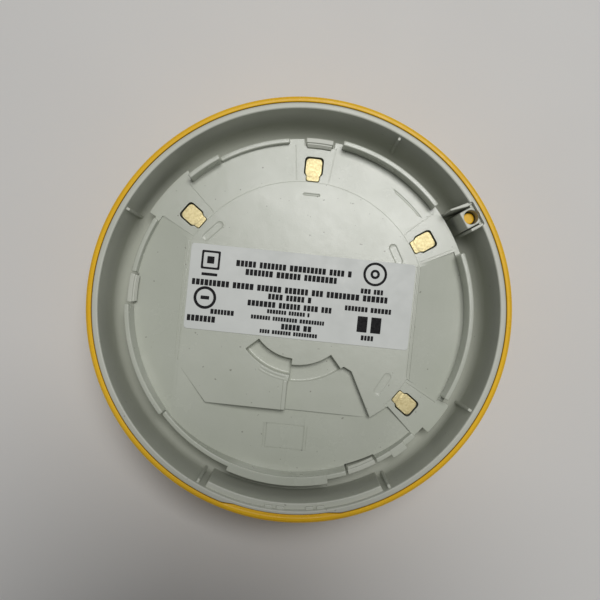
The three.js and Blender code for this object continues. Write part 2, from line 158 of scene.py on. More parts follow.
def offset(points, distance):
    """The outline moved sideways, outwards where it runs anticlockwise."""
    count = len(points)
    result = []
    for i, here in enumerate(points):
        p = Vector(here)
        a = (p - Vector(points[i - 1])).normalized()
        b = (Vector(points[(i + 1) % count]) - p).normalized()
        na, nb = Vector((a.y, -a.x)), Vector((b.y, -b.x))
        miter = (na + nb) / max(0.35, 1 + na.dot(nb))
        result.append(tuple(p + miter * distance))
    return result


def area_of(points):
    return sum(a[0] * b[1] - b[0] * a[1] for a, b in zip(points, points[1:] + points[:1])) / 2


def strip(start, end, width):
    """A straight strip between two points."""
    a, b = Vector(start), Vector(end)
    side = (b - a).normalized().orthogonal() * (width / 2)
    return [tuple(p) for p in (a - side, b - side, b + side, a + side)]


def capsule(start, end, width):
    """A strip with round ends."""
    a, b = Vector(start), Vector(end)
    along = math.degrees(math.atan2(b.y - a.y, b.x - a.x))
    radius = width / 2
    return arc(radius, along - 90, along + 90, 15, b) + arc(radius, along + 90, along + 270, 15, a)


def anticlockwise(points):
    return points if area_of(points) > 0 else points[::-1]


# ---- Mesh building ----


def add_stack(bm, rings):
    """A closed body from a stack of rings of equal length, first ring at the top."""
    rows = [[bm.verts.new(p) for p in ring] for ring in rings]
    count = len(rows[0])
    for upper, lower in zip(rows, rows[1:]):
        for i in range(count):
            j = (i + 1) % count
            bm.faces.new((upper[i], lower[i], lower[j], upper[j]))
    return rows


def cap(bm, loops, up):
    """Fills one or more nested loops of a flat level."""
    edges = []
    for loop in loops:
        for a, b in zip(loop, loop[1:] + loop[:1]):
            edges.append(bm.edges.get((a, b)) or bm.edges.new((a, b)))
    filled = bmesh.ops.triangle_fill(bm, use_beauty=True, use_dissolve=False, edges=edges)
    for face in [g for g in filled["geom"] if isinstance(g, bmesh.types.BMFace)]:
        if (face.normal.z > 0) != up:
            face.normal_flip()


def quarter_turn(steps=4):
    """(1 - sine, 1 - cosine) pairs along a quarter of a circle."""
    angles = [math.pi / 2 * i / steps for i in range(steps + 1)]
    return [(1 - math.sin(angle), 1 - math.cos(angle)) for angle in angles]


def add_levels(bm, loops, levels):
    """A closed body over nested loops, from (outward offset, height) levels, the top one first."""
    tops, bottoms = [], []
    for points in loops:
        rings = [[(x, y, z) for x, y in offset(points, out)] for out, z in levels]
        rows = add_stack(bm, rings)
        tops.append(rows[0])
        bottoms.append(rows[-1])
    cap(bm, tops, True)
    cap(bm, bottoms, False)


def add_moulding(bm, outline, low, high, edge=0.25, draft=0.01, holes=(), steps=4):
    """A raised moulded form: flat top, rounded top edge, drafted wall."""
    levels = [(-edge * s, high - edge * c) for s, c in quarter_turn(steps)]
    levels.append((draft * (high - edge - low), low))
    loops = [anticlockwise(outline)] + [anticlockwise(hole)[::-1] for hole in holes]
    add_levels(bm, loops, levels)


def add_block(bm, outline, low, high):
    add_moulding(bm, outline, low, high, edge=SHARP, draft=0, steps=1)


def add_cutter(bm, outline, floor, surface, edge, foot):
    """A body that cuts a recess with a rounded floor corner and a rounded top edge."""
    levels = [(edge + CUT_FLARE, surface + CUT_RISE)]
    levels += [(edge * s, surface - edge * c) for s, c in quarter_turn()]
    levels += [(-foot * c, floor + foot * s) for s, c in quarter_turn()]
    add_levels(bm, [anticlockwise(outline)], levels)


def ease(t):
    """Runs from 0 to 1 with a level start and end."""
    t = min(1, max(0, t))
    return t * t * (3 - 2 * t)


def add_dent(bm, outline, surface, depth, width, steps=6):
    """A body that cuts a soft hollow: its sides slope in over a width, down to a depth."""
    levels = [(0.5, surface + 2)]
    for i in range(steps + 1):
        levels.append((-width * i / steps, surface - depth * ease(i / steps)))
    add_levels(bm, [anticlockwise(outline)], levels)


def add_lathe(bm, profile, segments=240):
    """A body of revolution about Z from a closed (radius, height) profile that may touch the axis."""
    profile = anticlockwise(profile)
    columns = []
    for r, z in profile:
        if r < 1e-6:
            columns.append([bm.verts.new((0, 0, z))] * segments)
        else:
            ring = [(*polar(r, 360 * i / segments), z) for i in range(segments)]
            columns.append([bm.verts.new(p) for p in ring])
    for a, b in zip(columns, columns[1:] + columns[:1]):
        for i in range(segments):
            j = (i + 1) % segments
            corners = []
            for v in (a[i], a[j], b[j], b[i]):
                if v not in corners:
                    corners.append(v)
            if len(corners) > 2 and bm.faces.get(corners) is None:
                bm.faces.new(corners)


def new_object(name, build):
    bm = bmesh.new()
    build(bm)
    bmesh.ops.recalc_face_normals(bm, faces=bm.faces)
    mesh = bpy.data.meshes.new(name)
    bm.to_mesh(mesh)
    bm.free()
    obj = bpy.data.objects.new(name, mesh)
    bpy.context.scene.collection.objects.link(obj)
    return obj


def combine(target, other, operation):
    """Applies a boolean with another object, which is removed."""
    modifier = target.modifiers.new("combine", "BOOLEAN")
    modifier.operation = operation
    modifier.object = other
    modifier.solver = "MANIFOLD"
    graph = bpy.context.evaluated_depsgraph_get()
    graph.update()
    made = bpy.data.meshes.new_from_object(target.evaluated_get(graph))
    target.modifiers.clear()
    old = target.data
    target.data = made
    bpy.data.meshes.remove(old)
    bpy.data.objects.remove(other)


def to_metres(mesh):
    for v in mesh.vertices:
        v.co *= MM


def cut(target, build):
    combine(target, new_object("cutter", build), "DIFFERENCE")


def join(target, build):
    combine(target, new_object("addition", build), "UNION")


def carve(target, outline, floor, surface, edge, foot):
    """Cuts a recess or an opening with rounded edges."""
    cut(target, lambda bm: add_cutter(bm, outline, floor, surface, edge, foot))


def merge_slivers(mesh):
    """Merges points that the booleans left almost on top of each other."""
    bm = bmesh.new()
    bm.from_mesh(mesh)
    bmesh.ops.dissolve_degenerate(bm, dist=SLIVER, edges=bm.edges)
    bm.to_mesh(mesh)
    bm.free()


def finished(obj, body, material, replaced=()):
    """Scales the piece to metres, smooths it, gives it its material and puts it on its body."""
    mesh = obj.data
    merge_slivers(mesh)
    to_metres(mesh)
    mesh.polygons.foreach_set("use_smooth", [True] * len(mesh.polygons))
    mesh.set_sharp_from_angle(angle=SMOOTH_ANGLE)
    normals = obj.modifiers.new("normals", "WEIGHTED_NORMAL")
    normals.keep_sharp = True
    normals.weight = 80
    mesh.materials.clear()
    mesh.materials.append(material)
    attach(obj, body)
    if replaced:
        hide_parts(*replaced)
    return obj


# ---- Materials ----


MIX_A, MIX_B, MIX_RESULT = 6, 7, 2  # where the Mix node keeps its colour sockets


class Nodes:
    """A material's node tree with short ways to add and link nodes."""

    def __init__(self, name):
        self.material = bpy.data.materials.new(name)
        self.material.use_nodes = True
        self.tree = self.material.node_tree
        self.shader = self.tree.nodes["Principled BSDF"]
        self.place = self.add("ShaderNodeTexCoord").outputs["Object"]

    def add(self, kind, **settings):
        node = self.tree.nodes.new(kind)
        for key, value in settings.items():
            setattr(node, key, value)
        return node

    def link(self, source, target):
        self.tree.links.new(source, target)

    def noise(self, scale, detail=3.0, roughness=0.5):
        node = self.add("ShaderNodeTexNoise")
        self.link(self.place, node.inputs["Vector"])
        node.inputs["Scale"].default_value = scale
        node.inputs["Detail"].default_value = detail
        node.inputs["Roughness"].default_value = roughness
        return node.outputs["Fac"]

    def remap(self, source, from_low, from_high, to_low, to_high):
        node = self.add("ShaderNodeMapRange")
        self.link(source, node.inputs["Value"])
        for key, value in zip(
            ("From Min", "From Max", "To Min", "To Max"), (from_low, from_high, to_low, to_high)
        ):
            node.inputs[key].default_value = value
        return node.outputs["Result"]

    def blend(self, factor, a, b):
        node = self.add("ShaderNodeMix", data_type="RGBA")
        self.link(factor, node.inputs["Factor"])
        for index, value in ((MIX_A, a), (MIX_B, b)):
            if hasattr(value, "is_linked"):
                self.link(value, node.inputs[index])
            else:
                node.inputs[index].default_value = (*value, 1)
        return node.outputs[MIX_RESULT]

    def bump(self, height, distance, before=None):
        node = self.add("ShaderNodeBump")
        self.link(height, node.inputs["Height"])
        node.inputs["Distance"].default_value = distance
        if before is not None:
            self.link(before, node.inputs["Normal"])
        return node.outputs["Normal"]

    def set(self, **values):
        for key, value in values.items():
            socket = self.shader.inputs[key.replace("_", " ")]
            if hasattr(value, "is_linked"):
                self.link(value, socket)
            else:
                socket.default_value = value


def moulded_plastic(name, light, dark, roughness, specks):
    """Satin moulded plastic: faint mottling, a fine surface grain, smudges, and a few dirt specks."""
    look = Nodes(name)
    mottle = look.remap(look.noise(45, 5, 0.6), 0.3, 0.7, 0, 1)
    colour = look.blend(mottle, light, dark)
    dust = look.remap(look.noise(900, 1, 0.4), 0.765, 0.80, 0, specks)
    colour = look.blend(dust, colour, (0.10, 0.085, 0.06))
    smudge = look.remap(look.noise(28, 6, 0.7), 0.35, 0.75, roughness, roughness + 0.14)
    grain = look.bump(look.noise(5200, 2, 0.5), 0.00002)
    surface = look.bump(look.noise(160, 2), 0.00006, before=grain)
    look.set(Base_Color=colour, Roughness=smudge, Normal=surface, Specular_IOR_Level=0.45)
    return look.material


def amber_plastic():
    """Translucent amber sheet: deep colour, soft gloss, and light scratches from handling."""
    look = Nodes("amber_plastic")
    mottle = look.remap(look.noise(60, 4), 0.3, 0.7, 0, 1)
    colour = look.blend(mottle, (1.0, 0.60, 0.03), (0.95, 0.54, 0.02))
    rough = look.remap(look.noise(220, 5, 0.7), 0.35, 0.7, 0.22, 0.4)
    look.set(Base_Color=colour, Roughness=rough, Normal=look.bump(look.noise(2600, 3), 0.00002))
    look.set(Transmission_Weight=0.06, IOR=1.49, Specular_IOR_Level=0.15)
    return look.material


def gold_contact():
    """Pale gold plating with a worn, lightly pitted face."""
    look = Nodes("gold_contact")
    wear = look.remap(look.noise(1500, 5, 0.65), 0.42, 0.66, 0, 1)
    colour = look.blend(wear, (0.54, 0.47, 0.27), (0.43, 0.36, 0.19))
    rough = look.remap(look.noise(2400, 4, 0.6), 0.3, 0.7, 0.42, 0.58)
    look.set(Base_Color=colour, Roughness=rough, Metallic=1.0)
    look.set(Normal=look.bump(look.noise(2600, 3, 0.6), 0.00003))
    return look.material


def label_film():
    """Coated label film with a slightly uneven tone."""
    look = Nodes("label_film")
    tone = look.remap(look.noise(70, 4), 0.3, 0.7, 0, 1)
    colour = look.blend(tone, (0.70, 0.72, 0.70), (0.655, 0.675, 0.655))
    look.set(Base_Color=colour, Roughness=look.remap(look.noise(300, 3), 0.3, 0.7, 0.42, 0.56))
    look.set(Normal=look.bump(look.noise(900, 3), 0.00001))
    return look.material


def print_ink():
    """Black print that covers a little unevenly."""
    look = Nodes("print_ink")
    patchy = look.remap(look.noise(3800, 3, 0.6), 0.4, 0.75, 0, 1)
    look.set(Base_Color=look.blend(patchy, (0.006, 0.006, 0.007), (0.025, 0.025, 0.026)))
    look.set(Roughness=look.remap(look.noise(1200), 0.3, 0.7, 0.6, 0.8), Specular_IOR_Level=0.2)
    return look.material


def inner_material(name, light, dark, roughness, metallic=0.0, scale=400):
    """Components on the board: mottled colour with a fine bump."""
    look = Nodes(name)
    colour = look.blend(look.remap(look.noise(scale, 4), 0.35, 0.65, 0, 1), light, dark)
    rough = look.remap(look.noise(scale * 2, 3), 0.3, 0.7, roughness, roughness + 0.15)
    look.set(Base_Color=colour, Roughness=rough, Normal=look.bump(look.noise(scale * 6, 3), 0.00002))
    look.set(Metallic=metallic)
    return look.material


COVER_PLASTIC = moulded_plastic(
    "cover_plastic", (0.59, 0.605, 0.535), (0.55, 0.565, 0.495), 0.30, specks=0.35
)
CHASSIS_PLASTIC = moulded_plastic(
    "chassis_plastic", (0.555, 0.575, 0.505), (0.515, 0.54, 0.465), 0.2, specks=0.5
)
AMBER = amber_plastic()
GOLD = gold_contact()
LABEL = label_film()
INK = print_ink()


# ---- Front cover ----

SHOULDER_CENTRE = (SKIRT_R - 8, RIM_Z - 14)
CHANNEL_FILLET = 5.5
CHANNEL_FILLET_CENTRE = (SKIRT_INNER_R - 5.8, CHANNEL_Z + CHANNEL_FILLET)
# Each hook: its first and last angle, and the radius that its nose reaches in to.
HOOKS = [(84, 93.2, 44.9), (173.4, 183.2, 44.9), (292.6, 302.4, 45.4)]
HOOK_R = (45.95, 47.3)
WALL_RIBS = [65.3, 155.3, 245.3, 302.8, 335.3]
TOOL_BOSS_AT = 34
TOOL_HOLE_R = 1.9
TOOL_HOLE_CENTRE = polar(51.7, TOOL_BOSS_AT)
TOOL_HOLE_END_Z = 15
BOSS_FACE_Z = RIM_Z - 1.4
BOSS_EDGE_R = 53.6
BOSS_HALF_WIDTH = 2.4
LEDGE_TEETH = [265.8, 269.2, 277.6, 280.8]
NOSE_STEPS = 4
FIN_COUNT = 8
FIN_HALF_WIDTH = 0.8
FLAT_R = 53.8
FLAT = (253.3, 287.8)  # the first and last angle of the skirt's flat
FLAT_RAMP = 3.7  # the angle of the ramp at each of its ends
FLAT_LOW_Z = 26


def flat_outline(inner, edge, outer, start, end):
    """The plan of the skirt's flat, or of the tab in it, with a ramp at each end."""
    deep = arc(inner, end - FLAT_RAMP, start + FLAT_RAMP)
    return arc(outer, start, end) + [polar(edge, end)] + deep + [polar(edge, start)]


def shell_profile():
    """Half section of the skirt, shoulder and neck, with the channel and the inner wall."""
    outer = (
        [(4.4, NECK_UNDER_Z), (23.5, NECK_UNDER_Z), (26, NECK_UNDER_Z + 2)]
        + arc(8, -65, 0, 4, SHOULDER_CENTRE)
        + [(SKIRT_R, RIM_Z)]
    )
    inner = (
        [(SKIRT_INNER_R, RIM_Z), (SKIRT_INNER_R - 0.2, CHANNEL_Z + 7.5)]
        + arc(CHANNEL_FILLET, 0, -90, 4, CHANNEL_FILLET_CENTRE)
        + [(44.9, CHANNEL_Z), (44.9, 28.4), (43.4, 28.4), (43.4, 23.3), (26, 16.5)]
        + [(22, NECK_UNDER_Z + 2.6), (4.4, NECK_UNDER_Z + 2.6)]
    )
    return soften(outer + inner, 0.45, 5)


def cage_fin_outline():
    top = NECK_UNDER_Z + 1
    return soften([(11, top), (11, TIP_Z + 1.5), (17.6, TIP_Z + 1.5), (22.5, top)], 0.8)


def add_end_disc(bm):
    disc = [(0, TIP_Z), (15.6, TIP_Z), (18.5, TIP_Z + 1), (18.5, TIP_Z + 2.2), (0, TIP_Z + 2.2)]
    add_lathe(bm, soften(disc, 0.5), 120)


def add_cage_fins(bm):
    """Upright fins: each is made lying down, with radius and height as its plan, then stood up."""
    for i in range(FIN_COUNT):
        start = len(bm.verts)
        add_moulding(
            bm, cage_fin_outline(), -FIN_HALF_WIDTH, FIN_HALF_WIDTH, edge=0.35, draft=0
        )
        bm.verts.ensure_lookup_table()
        angle = math.radians((i + 0.5) * 360 / FIN_COUNT)
        for v in bm.verts[start:]:
            r, z, side = v.co
            v.co = (
                r * math.cos(angle) - side * math.sin(angle),
                r * math.sin(angle) + side * math.cos(angle),
                z,
            )


def add_hook_stems(bm):
    for start, end, _ in HOOKS:
        outline = soften(sector_outline(*HOOK_R, start, end), 0.3)
        add_moulding(bm, outline, CHANNEL_Z - 0.5, HOOK_TOP_Z, edge=0.2, draft=0.004)


def add_hook_noses(bm, level):
    """One step of each hook's ramp, which climbs outwards."""
    low = PLATFORM_Z + 0.45 - 0.04 * level
    high = PLATFORM_Z + 0.95 + 0.3 * level
    inset = 0.08 * (NOSE_STEPS - level)
    for start, end, nose_r in HOOKS:
        back = HOOK_R[0] + 0.5 + 0.03 * level
        step = sector_outline(nose_r + 0.25 * level, back, start + inset, end - inset)
        add_moulding(bm, soften(step, 0.3), low, high, edge=0.22, draft=0.02)


def add_wall_ribs(bm):
    for at in WALL_RIBS:
        outline = turned(soften(box_outline(51.9, 53.4, -0.4, 0.4), 0.3), at)
        add_moulding(bm, outline, CHANNEL_Z + 2, RIM_Z - 1.3, edge=0.22, draft=0.006)


def add_ledge(bm):
    outline = soften(sector_outline(51.3, 53.4, 247.8, 300.8), 0.4)
    add_moulding(bm, outline, CHANNEL_Z + 3, RIM_Z - 1.6, edge=0.35, draft=0.006)


def add_ledge_teeth(bm):
    for start in LEDGE_TEETH:
        tooth = soften(sector_outline(52.1, 53.4, start, start + 2.3), 0.3)
        add_moulding(bm, tooth, CHANNEL_Z + 4, RIM_Z - 0.9, edge=0.22)


def add_boss(bm):
    block = box_outline(49.4, BOSS_EDGE_R, -BOSS_HALF_WIDTH, BOSS_HALF_WIDTH)
    plan = turned(soften(block, 0.5), TOOL_BOSS_AT)
    add_moulding(bm, plan, CHANNEL_Z + 1, BOSS_FACE_Z, draft=0.008)


def add_boss_walls(bm):
    low = CHANNEL_Z + 2
    far_wall = soften([(47.6, 4.0), (52.0, 2.9), (53.6, 2.9), (53.6, 3.7), (47.6, 4.5)], 0.2)
    add_moulding(bm, turned(far_wall, TOOL_BOSS_AT), low, RIM_Z - 0.9, edge=0.2, draft=0.006)
    near_wall = soften(box_outline(49.9, 53.6, -3.5, -2.7), 0.35)
    add_moulding(bm, turned(near_wall, TOOL_BOSS_AT), low, RIM_Z - 0.7, edge=0.2, draft=0.006)


def front_cover():
    obj = new_object("front_cover_moulding", lambda bm: add_lathe(bm, shell_profile()))
    for build in (add_hook_stems, add_wall_ribs, add_ledge, add_ledge_teeth):
        join(obj, build)
    for level in range(NOSE_STEPS):
        join(obj, lambda bm: add_hook_noses(bm, level))
    recess = turned(soften(box_outline(52, BOSS_EDGE_R, -3.3, 3.5), 0.5), TOOL_BOSS_AT)
    carve(obj, recess, BOSS_FACE_Z - 0.2, RIM_Z, edge=0.12, foot=0.1)
    for build in (add_boss, add_boss_walls, add_end_disc, add_cage_fins):
        join(obj, build)
    hole = circle(TOOL_HOLE_R, TOOL_HOLE_CENTRE)
    carve(obj, hole, TOOL_HOLE_END_Z, BOSS_FACE_Z, edge=0.15, foot=SHARP)
    flat = flat_outline(FLAT_R, SKIRT_R, SKIRT_R + 1, *FLAT)
    carve(obj, flat, FLAT_LOW_Z, RIM_Z, edge=0.1, foot=0.1)
    return finished(obj, DETECTOR_BODY, COVER_PLASTIC, ["front_cover"])


# ---- Rear chassis ----

CONTACT_ANGLES = [34.1, 89.8, 144.1, 324.3]
TALL_RAILS = [(-25.7, 24.8), (42.8, 80.8), (123.3, 135.3), (183.8, 222.8)]
LOW_RAILS = [(98.8, 123.3), (153.3, 172.8)]
BOTTOM_RAILS = [(222.9, 251.6), (285, 292), (303, 308.6)]
CHORD_LEFT_X = -32.4
CHORD_RIGHT_X = 31.8
PLATEAU_EDGE_Y = -28.2
BOWL_END = 46.6  # how far out along X the slopes beside the plateau run
BOWL_STEPS = 12
BOWL_HALF_LENGTH = 34
SUMP_LEVEL = (-11, 14)  # the low area's floor is level between these two X places
SUMP_RISE = 21  # the length of its rise to the right
TAB_LOW_Z = PLATFORM_Z - 1.5
# Each edge tab: its inner and outer radius, first and last angle, and top level.
EDGE_TABS = [
    (46.5, 49.5, 134.3, 152.8, PLATFORM_Z),
    (46.5, 49.5, 322.1, 333.3, PLATFORM_Z),
    (RAIL_INNER_R, 48.4, 251.3, 285.3, BOTTOM_RAIL_Z),
    (RAIL_INNER_R, 48.3, 308.3, 314, BOTTOM_RAIL_Z),
    (RAIL_INNER_R, 47.5, 313.8, 318.3, LOW_RAIL_Z),
]
LINE_WIDTH = 0.27


def stepped_outline(inner, outer, neck, shoulder, near, far):
    """A contact's plan on the +X side: a narrow neck from inner, then a wider plate out to outer."""
    half = [(inner, near), (neck, near), (shoulder, far), (outer, far)]
    return [(x, -y) for x, y in half] + half[::-1]


def chassis_slab(bm):
    profile = [
        (0, SUMP_Z - 1.5),
        (CHASSIS_R - 1.6, SUMP_Z - 1.5),
        (CHASSIS_R - 1.6, CHASSIS_BASE_Z),
        (CHASSIS_R, CHASSIS_BASE_Z),
        (CHASSIS_R, PLATEAU_Z),
        (0, PLATEAU_Z),
    ]
    add_lathe(bm, soften(profile, 0.35))


def along_y(section, low_y, high_y):
    """A builder of a prism along Y over a section of (x, z) points."""

    def build(bm):
        rows = [[bm.verts.new((x, y, z)) for x, z in section] for y in (low_y, high_y)]
        for i in range(len(section)):
            j = (i + 1) % len(section)
            bm.faces.new((rows[0][i], rows[0][j], rows[1][j], rows[1][i]))
        bm.faces.new(rows[0])
        bm.faces.new(rows[1][::-1])

    return build


def bowl_level(chord_x, x):
    """Height of the shallow concave slope that falls from the plateau's chord to the rail."""
    t = min(1, max(0, (abs(x) - abs(chord_x)) / (BOWL_END - abs(chord_x))))
    return PLATEAU_Z - (PLATEAU_Z - BOWL_FOOT_Z) * (1 - (1 - t) ** 1.8)


def sump_floor(x):
    """The low area's floor rises towards both ends, and runs on into the left slope."""
    if x < CHORD_LEFT_X:
        return bowl_level(CHORD_LEFT_X, x)
    level_start, level_end = SUMP_LEVEL
    left = (PLATEAU_Z - SUMP_Z) * ease((level_start - x) / (level_start - CHORD_LEFT_X))
    right = (SUMP_END_Z - SUMP_Z) * ease((x - level_end) / SUMP_RISE)
    return SUMP_Z + max(left, right)


def sump_cutter():
    """Sinks the low area between the plateau's lower edge and the bottom rails."""
    edge = [(-23.3, -28.1), (CHORD_LEFT_X, -17.7), (-33.4, -22), (-34.2, -26)]
    outer = arc(45.85, 218, 318.1)
    inner = [(27.2, -24.2), (22.6, -27.7), (20.5, PLATEAU_EDGE_Y)]
    reach = 50
    floor_line = [(x / 2, sump_floor(x / 2)) for x in range(-2 * reach, 2 * reach + 1)]
    section = floor_line + [(reach, ABOVE_Z), (-reach, ABOVE_Z)]
    wedge = new_object("wedge", along_y(section, -reach, 0))
    outline = edge + outer + inner
    region = new_object(
        "region", lambda bm: add_cutter(bm, outline, SUMP_Z - 1, PLATEAU_Z, 0.2, 0.01)
    )
    combine(wedge, region, "INTERSECT")
    return wedge


def pocket_outline():
    top = arc(20.1, 266.6, 313.8)
    rest = [(16.2, -15.6), (22.4, -27.6), (22.4, PLATEAU_EDGE_Y - 2), (-1.2, PLATEAU_EDGE_Y - 2)]
    return soften(top + rest, 0.35)


def bowl_cutter(chord_x, start, end):
    """Lowers the platform in a shallow concave slope from the plateau's chord to the rail."""
    side = 1 if chord_x > 0 else -1
    slope = []
    for i in range(BOWL_STEPS + 1):
        x = side * (abs(chord_x) + (BOWL_END - abs(chord_x)) * i / BOWL_STEPS)
        slope.append((x, bowl_level(chord_x, x)))
    profile = slope + [(slope[-1][0], ABOVE_Z), (chord_x, ABOVE_Z)]
    wedge = new_object("wedge", along_y(profile, -BOWL_HALF_LENGTH, BOWL_HALF_LENGTH))
    sector = sector_outline(20, RAIL_INNER_R, start, end)
    window = new_object("window", lambda bm: add_block(bm, sector, THROUGH_Z, ABOVE_Z + 1))
    combine(wedge, window, "INTERSECT")
    return wedge


def add_rails(bm, spans, top):
    for start, end in spans:
        outline = soften(sector_outline(RAIL_INNER_R, CHASSIS_R - 0.05, start, end), 0.45)
        add_moulding(bm, outline, PLATFORM_Z - 1.6, top, edge=0.3, draft=0.006)


def add_edge_tab(bm, inner, outer, start, end, top):
    outline = soften(sector_outline(inner, outer, start, end), 0.4)
    add_moulding(bm, outline, TAB_LOW_Z, top)


def add_pocket_lip(bm):
    outline = soften(box_outline(-2.4, -1.2, PLATEAU_EDGE_Y + 0.1, -19.9), 0.3)
    add_moulding(bm, outline, SUMP_Z, PLATEAU_Z + 0.25)


def add_groove_ledge(bm):
    """The stepped band that runs along the groove's outer side."""
    for inner, top in ((18.5, 0.22), (19.4, 0.14)):
        outline = soften(sector_outline(inner, inner + 0.6, 241.5, 264), 0.2)
        add_moulding(bm, outline, PLATEAU_Z - 1, PLATEAU_Z + top, edge=0.1)


def engrave(obj, outlines, surface, depth):
    """Cuts shallow marks that don't overlap into a level surface."""

    def build(bm):
        for outline in outlines:
            add_cutter(bm, outline, surface - depth, surface, edge=0.04, foot=0.02)

    cut(obj, build)


def engrave_parting_lines(obj):
    """Fine lines where the mould's inserts meet: round the contacts and along both chords."""
    pads = []
    for at in CONTACT_ANGLES:
        for side in (-7.1, 7.1):
            pads.append(strip(polar(35.9, at + side), polar(45.6, at + side), LINE_WIDTH))
    engrave(obj, pads, PLATFORM_Z, 0.25)
    chords = []
    for x, low, high in ((-32.8, -16.6, 16.8), (-31.95, -17.3, 17.2), (31.35, -15.8, 15.0)):
        chords.append(strip((x, low), (x, high), LINE_WIDTH + 0.05))
    engrave(obj, chords, PLATEAU_Z, 0.35)
    engrave(obj, [strip((32.2, -16.2), (32.2, 15.6), LINE_WIDTH)], PLATEAU_Z - 0.05, 0.35)


def engrave_plate_mark(obj):
    """An empty rectangular insert mark on the low area's floor."""
    left, right, low, high = -6.6, 5.6, -39.6, -32.8
    sides = [strip((x, low), (x, high), LINE_WIDTH) for x in (left, left + 0.7, right - 0.7, right)]
    ends = [strip((left + 0.9, y), (right - 0.9, y), LINE_WIDTH) for y in (low, high)]
    engrave(obj, sides + ends, SUMP_Z, 0.25)


def engrave_sink_marks(obj):
    """Soft shallow hollows over the ribs on the chassis's other side."""
    marks = [
        capsule((-27.6, 17.4), (-24.2, 21.1), 2.3),
        capsule((24.2, 19.6), (26.2, 16.1), 2.4),
        capsule((26.2, -16.1), (23.9, -20.4), 2.4),
        capsule((-1.7, 32), (2.3, 32), 0.9),
    ]
    for mark in marks:
        cut(obj, lambda bm: add_dent(bm, mark, PLATEAU_Z, 0.16, 0.4))
    outer = arc(43.2, 42, 58, centre=(-0.4, -0.4))
    sliver = soften(outer + arc(40.2, 56.5, 44, centre=(1.2, 1.2)), 0.2)
    cut(obj, lambda bm: add_dent(bm, sliver, PLATFORM_Z, 0.12, 0.25))


def rear_chassis():
    obj = new_object("rear_chassis_moulding", chassis_slab)
    for span in ((25, 153), (317.4, 333)):
        step = sector_outline(PLATEAU_R, 50, *span)
        carve(obj, step, PLATFORM_Z, PLATEAU_Z, edge=0.12, foot=0.1)
    for x, start, end in ((CHORD_LEFT_X, 151.3, 222), (CHORD_RIGHT_X, -27.6, 26.2)):
        combine(obj, bowl_cutter(x, start, end), "DIFFERENCE")
    combine(obj, sump_cutter(), "DIFFERENCE")
    carve(obj, pocket_outline(), POCKET_Z, PLATEAU_Z, edge=0.2, foot=0.25)
    for groove in ((13.7, 18.3, 222, 268), (15.4, 20.3, 267.4, 311)):
        plan = soften(sector_outline(*groove), 0.7)
        carve(obj, plan, GROOVE_Z, PLATEAU_Z, edge=0.2, foot=0.6)
    for spans, top in (
        (TALL_RAILS, TALL_RAIL_Z),
        (LOW_RAILS, LOW_RAIL_Z),
        (BOTTOM_RAILS, BOTTOM_RAIL_Z),
    ):
        join(obj, lambda bm: add_rails(bm, spans, top))
    for tab in EDGE_TABS:
        join(obj, lambda bm: add_edge_tab(bm, *tab))
    join(obj, add_pocket_lip)
    join(obj, add_groove_ledge)
    engrave_parting_lines(obj)
    engrave_plate_mark(obj)
    engrave_sink_marks(obj)
    for at in CONTACT_ANGLES:
        plan = stepped_outline(35.62, 42.5, 37.2, 37.8, 1.9, 2.6)
        window = turned(soften(plan, 1.2, 6), at)
        carve(obj, window, THROUGH_Z, PLATFORM_Z, edge=0.1, foot=SHARP)
    for start, end, _ in HOOKS:
        slot = soften(sector_outline(HOOK_R[0] - 0.4, 50, start - 0.6, end + 0.6), 0.3)
        carve(obj, slot, THROUGH_Z, PLATFORM_Z, edge=0.1, foot=SHARP)
    return finished(obj, DETECTOR_BODY, CHASSIS_PLASTIC, ["rear_chassis"])


# ---- Contacts ----


def contact_piece(number, at):
    """A plate with a bend line across it, and a leg with a foot that reaches down to the board."""
    plan = stepped_outline(35.75, 42.1, 37.3, 37.9, 1.85, 2.3)
    plate = turned(soften(plan, 1.2, 6), at)
    obj = new_object(
        f"contact_{number}_plated",
        lambda bm: add_moulding(bm, plate, PLATFORM_Z - 0.6, PLATFORM_Z, edge=0.15, draft=0),
    )
    bend = turned(box_outline(36.8, 36.95, -3, 3), at)
    cut(obj, lambda bm: add_block(bm, bend, PLATFORM_Z - 0.12, PLATFORM_Z + 1))
    leg = turned(soften(box_outline(35.75, 36.3, -1.55, 1.55), 0.2), at)
    join(obj, lambda bm: add_moulding(bm, leg, BOARD_TOP + 0.1, PLATFORM_Z - 0.2, edge=0.1))
    foot = turned(soften(box_outline(35.75, 38.1, -1.55, 1.55), 0.3), at)
    join(obj, lambda bm: add_moulding(bm, foot, BOARD_TOP + 0.1, BOARD_TOP + 0.7, edge=0.1))
    return finished(obj, DETECTOR_BODY, GOLD, [f"contact_plate_{number}"])


# ---- Rating label ----

# Each printed line: left end, right end, middle height, letter height.
PRINT_LINES = [
    (-18.5, 13.6, 11.1, 1.7),
    (-15.7, 10.7, 8.9, 1.7),
    (-30.2, 25.0, 4.9, 1.7),
    (-8.8, 3.5, 2.8, 1.6),
    (-14.3, 9.5, 0.55, 1.6),
    (-8.7, 3.4, -1.3, 1.15),
    (-13.0, 7.6, -3.2, 1.15),
    (-4.4, 4.0, -5.15, 1.6),
    (-10.2, 5.7, -6.9, 1.1),
    (-24.3, -17.4, -2.9, 1.4),
    (-30.6, -21.9, -5.15, 1.7),
    (16.5, 23.4, 6.9, 1.4),
    (12.6, 26.4, 1.8, 1.4),
    (17.8, 22.0, -6.0, 1.4),
]


def label_sheet():
    low, high = LABEL_LOW, LABEL_HIGH
    outline = soften(box_outline(low.x, high.x, low.y, high.y), 1.0, 6)
    obj = new_object(
        "rating_label_film",
        lambda bm: add_moulding(bm, outline, low.z, high.z, edge=0.05, draft=0, steps=2),
    )
    return finished(obj, DETECTOR_BODY, LABEL, ["rating_label"])


